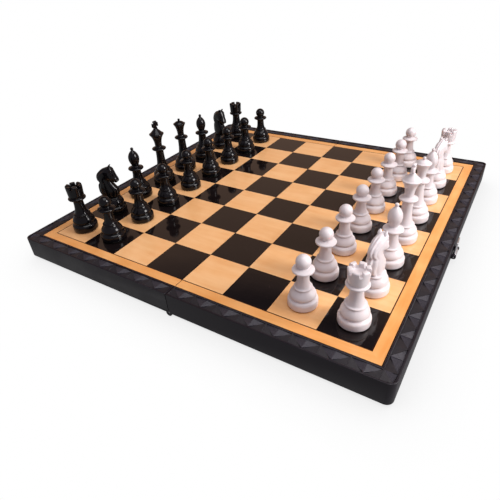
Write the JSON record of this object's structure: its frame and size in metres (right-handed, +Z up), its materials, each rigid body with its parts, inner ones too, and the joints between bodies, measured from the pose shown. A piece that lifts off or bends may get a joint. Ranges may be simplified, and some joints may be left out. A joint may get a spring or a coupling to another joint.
{
  "type": "folding magnetic chess set with board",
  "caption": "Folding plastic chess case laid open as a board, with magnetic pieces in their starting places and a hinge along the middle.",
  "frame": {"origin": "centre of the resting plane, under the hinge seam of the open board", "axes": "+Z up, +X from the black side to the white side across the seam, +Y along the hinge from file a to file h"},
  "size_m": [0.3264, 0.3184, 0.0829],
  "materials": {
    "case": "satin black moulded plastic, embossed frame",
    "sheet_steel": "plain rolled sheet, hidden under the print",
    "print": "glossy wood-pattern print with near-black squares",
    "pin_steel": "plain steel wire pin",
    "clasp_metal": "bright plated sheet metal",
    "white_piece": "semi-gloss moulded plastic, off-white",
    "black_piece": "high-gloss moulded plastic, black"
  },
  "bodies": {
    "white_half": {"white_case_half": "case", "white_steel_sheet": "sheet_steel", "white_print_sheet": "print", "near_hinge_pin": "pin_steel", "far_hinge_pin": "pin_steel", "clasp_pin": "pin_steel"},
    "black_half": {"black_case_half": "case", "black_steel_sheet": "sheet_steel", "black_print_sheet": "print"},
    "clasp": {"clasp_lever": "clasp_metal"},
    "white_rook_a": {"white_rook_a": "white_piece"},
    "white_knight_b": {"white_knight_b": "white_piece"},
    "white_bishop_c": {"white_bishop_c": "white_piece"},
    "white_king_d": {"white_king_d": "white_piece"},
    "white_queen_e": {"white_queen_e": "white_piece"},
    "white_bishop_f": {"white_bishop_f": "white_piece"},
    "white_knight_g": {"white_knight_g": "white_piece"},
    "white_rook_h": {"white_rook_h": "white_piece"},
    "white_pawn_a": {"white_pawn_a": "white_piece"},
    "white_pawn_b": {"white_pawn_b": "white_piece"},
    "white_pawn_c": {"white_pawn_c": "white_piece"},
    "white_pawn_d": {"white_pawn_d": "white_piece"},
    "white_pawn_e": {"white_pawn_e": "white_piece"},
    "white_pawn_f": {"white_pawn_f": "white_piece"},
    "white_pawn_g": {"white_pawn_g": "white_piece"},
    "white_pawn_h": {"white_pawn_h": "white_piece"},
    "black_rook_a": {"black_rook_a": "black_piece"},
    "black_knight_b": {"black_knight_b": "black_piece"},
    "black_bishop_c": {"black_bishop_c": "black_piece"},
    "black_king_d": {"black_king_d": "black_piece"},
    "black_queen_e": {"black_queen_e": "black_piece"},
    "black_bishop_f": {"black_bishop_f": "black_piece"},
    "black_knight_g": {"black_knight_g": "black_piece"},
    "black_rook_h": {"black_rook_h": "black_piece"},
    "black_pawn_a": {"black_pawn_a": "black_piece"},
    "black_pawn_b": {"black_pawn_b": "black_piece"},
    "black_pawn_c": {"black_pawn_c": "black_piece"},
    "black_pawn_d": {"black_pawn_d": "black_piece"},
    "black_pawn_e": {"black_pawn_e": "black_piece"},
    "black_pawn_f": {"black_pawn_f": "black_piece"},
    "black_pawn_g": {"black_pawn_g": "black_piece"},
    "black_pawn_h": {"black_pawn_h": "black_piece"}
  },
  "joints": [
    {"name": "board_fold", "type": "hinge", "parent": "white_half", "child": "black_half", "pos_m": [0, 0, 0.0026], "axis": [0, -1, 0], "range_deg": [0, 180]},
    {"name": "clasp_swing", "type": "hinge", "parent": "white_half", "child": "clasp", "pos_m": [0.1615, 0, 0.0076], "axis": [0, 1, 0], "range_deg": [0, 180]},
    {"name": "lift_black_rook_a", "type": "slide", "parent": "black_half", "child": "black_rook_a", "axis": [0, 0, 1], "range_m": [0, 0.08]},
    {"name": "lift_black_knight_b", "type": "slide", "parent": "black_half", "child": "black_knight_b", "axis": [0, 0, 1], "range_m": [0, 0.08]},
    {"name": "lift_black_bishop_c", "type": "slide", "parent": "black_half", "child": "black_bishop_c", "axis": [0, 0, 1], "range_m": [0, 0.08]},
    {"name": "lift_black_king_d", "type": "slide", "parent": "black_half", "child": "black_king_d", "axis": [0, 0, 1], "range_m": [0, 0.08]},
    {"name": "lift_black_queen_e", "type": "slide", "parent": "black_half", "child": "black_queen_e", "axis": [0, 0, 1], "range_m": [0, 0.08]},
    {"name": "lift_black_bishop_f", "type": "slide", "parent": "black_half", "child": "black_bishop_f", "axis": [0, 0, 1], "range_m": [0, 0.08]},
    {"name": "lift_black_knight_g", "type": "slide", "parent": "black_half", "child": "black_knight_g", "axis": [0, 0, 1], "range_m": [0, 0.08]},
    {"name": "lift_black_rook_h", "type": "slide", "parent": "black_half", "child": "black_rook_h", "axis": [0, 0, 1], "range_m": [0, 0.08]},
    {"name": "lift_black_pawn_a", "type": "slide", "parent": "black_half", "child": "black_pawn_a", "axis": [0, 0, 1], "range_m": [0, 0.08]},
    {"name": "lift_black_pawn_b", "type": "slide", "parent": "black_half", "child": "black_pawn_b", "axis": [0, 0, 1], "range_m": [0, 0.08]},
    {"name": "lift_black_pawn_c", "type": "slide", "parent": "black_half", "child": "black_pawn_c", "axis": [0, 0, 1], "range_m": [0, 0.08]},
    {"name": "lift_black_pawn_d", "type": "slide", "parent": "black_half", "child": "black_pawn_d", "axis": [0, 0, 1], "range_m": [0, 0.08]},
    {"name": "lift_black_pawn_e", "type": "slide", "parent": "black_half", "child": "black_pawn_e", "axis": [0, 0, 1], "range_m": [0, 0.08]},
    {"name": "lift_black_pawn_f", "type": "slide", "parent": "black_half", "child": "black_pawn_f", "axis": [0, 0, 1], "range_m": [0, 0.08]},
    {"name": "lift_black_pawn_g", "type": "slide", "parent": "black_half", "child": "black_pawn_g", "axis": [0, 0, 1], "range_m": [0, 0.08]},
    {"name": "lift_black_pawn_h", "type": "slide", "parent": "black_half", "child": "black_pawn_h", "axis": [0, 0, 1], "range_m": [0, 0.08]},
    {"name": "lift_white_rook_a", "type": "slide", "parent": "white_half", "child": "white_rook_a", "axis": [0, 0, 1], "range_m": [0, 0.08]},
    {"name": "lift_white_knight_b", "type": "slide", "parent": "white_half", "child": "white_knight_b", "axis": [0, 0, 1], "range_m": [0, 0.08]},
    {"name": "lift_white_bishop_c", "type": "slide", "parent": "white_half", "child": "white_bishop_c", "axis": [0, 0, 1], "range_m": [0, 0.08]},
    {"name": "lift_white_king_d", "type": "slide", "parent": "white_half", "child": "white_king_d", "axis": [0, 0, 1], "range_m": [0, 0.08]},
    {"name": "lift_white_queen_e", "type": "slide", "parent": "white_half", "child": "white_queen_e", "axis": [0, 0, 1], "range_m": [0, 0.08]},
    {"name": "lift_white_bishop_f", "type": "slide", "parent": "white_half", "child": "white_bishop_f", "axis": [0, 0, 1], "range_m": [0, 0.08]},
    {"name": "lift_white_knight_g", "type": "slide", "parent": "white_half", "child": "white_knight_g", "axis": [0, 0, 1], "range_m": [0, 0.08]},
    {"name": "lift_white_rook_h", "type": "slide", "parent": "white_half", "child": "white_rook_h", "axis": [0, 0, 1], "range_m": [0, 0.08]},
    {"name": "lift_white_pawn_a", "type": "slide", "parent": "white_half", "child": "white_pawn_a", "axis": [0, 0, 1], "range_m": [0, 0.08]},
    {"name": "lift_white_pawn_b", "type": "slide", "parent": "white_half", "child": "white_pawn_b", "axis": [0, 0, 1], "range_m": [0, 0.08]},
    {"name": "lift_white_pawn_c", "type": "slide", "parent": "white_half", "child": "white_pawn_c", "axis": [0, 0, 1], "range_m": [0, 0.08]},
    {"name": "lift_white_pawn_d", "type": "slide", "parent": "white_half", "child": "white_pawn_d", "axis": [0, 0, 1], "range_m": [0, 0.08]},
    {"name": "lift_white_pawn_e", "type": "slide", "parent": "white_half", "child": "white_pawn_e", "axis": [0, 0, 1], "range_m": [0, 0.08]},
    {"name": "lift_white_pawn_f", "type": "slide", "parent": "white_half", "child": "white_pawn_f", "axis": [0, 0, 1], "range_m": [0, 0.08]},
    {"name": "lift_white_pawn_g", "type": "slide", "parent": "white_half", "child": "white_pawn_g", "axis": [0, 0, 1], "range_m": [0, 0.08]},
    {"name": "lift_white_pawn_h", "type": "slide", "parent": "white_half", "child": "white_pawn_h", "axis": [0, 0, 1], "range_m": [0, 0.08]}
  ]
}
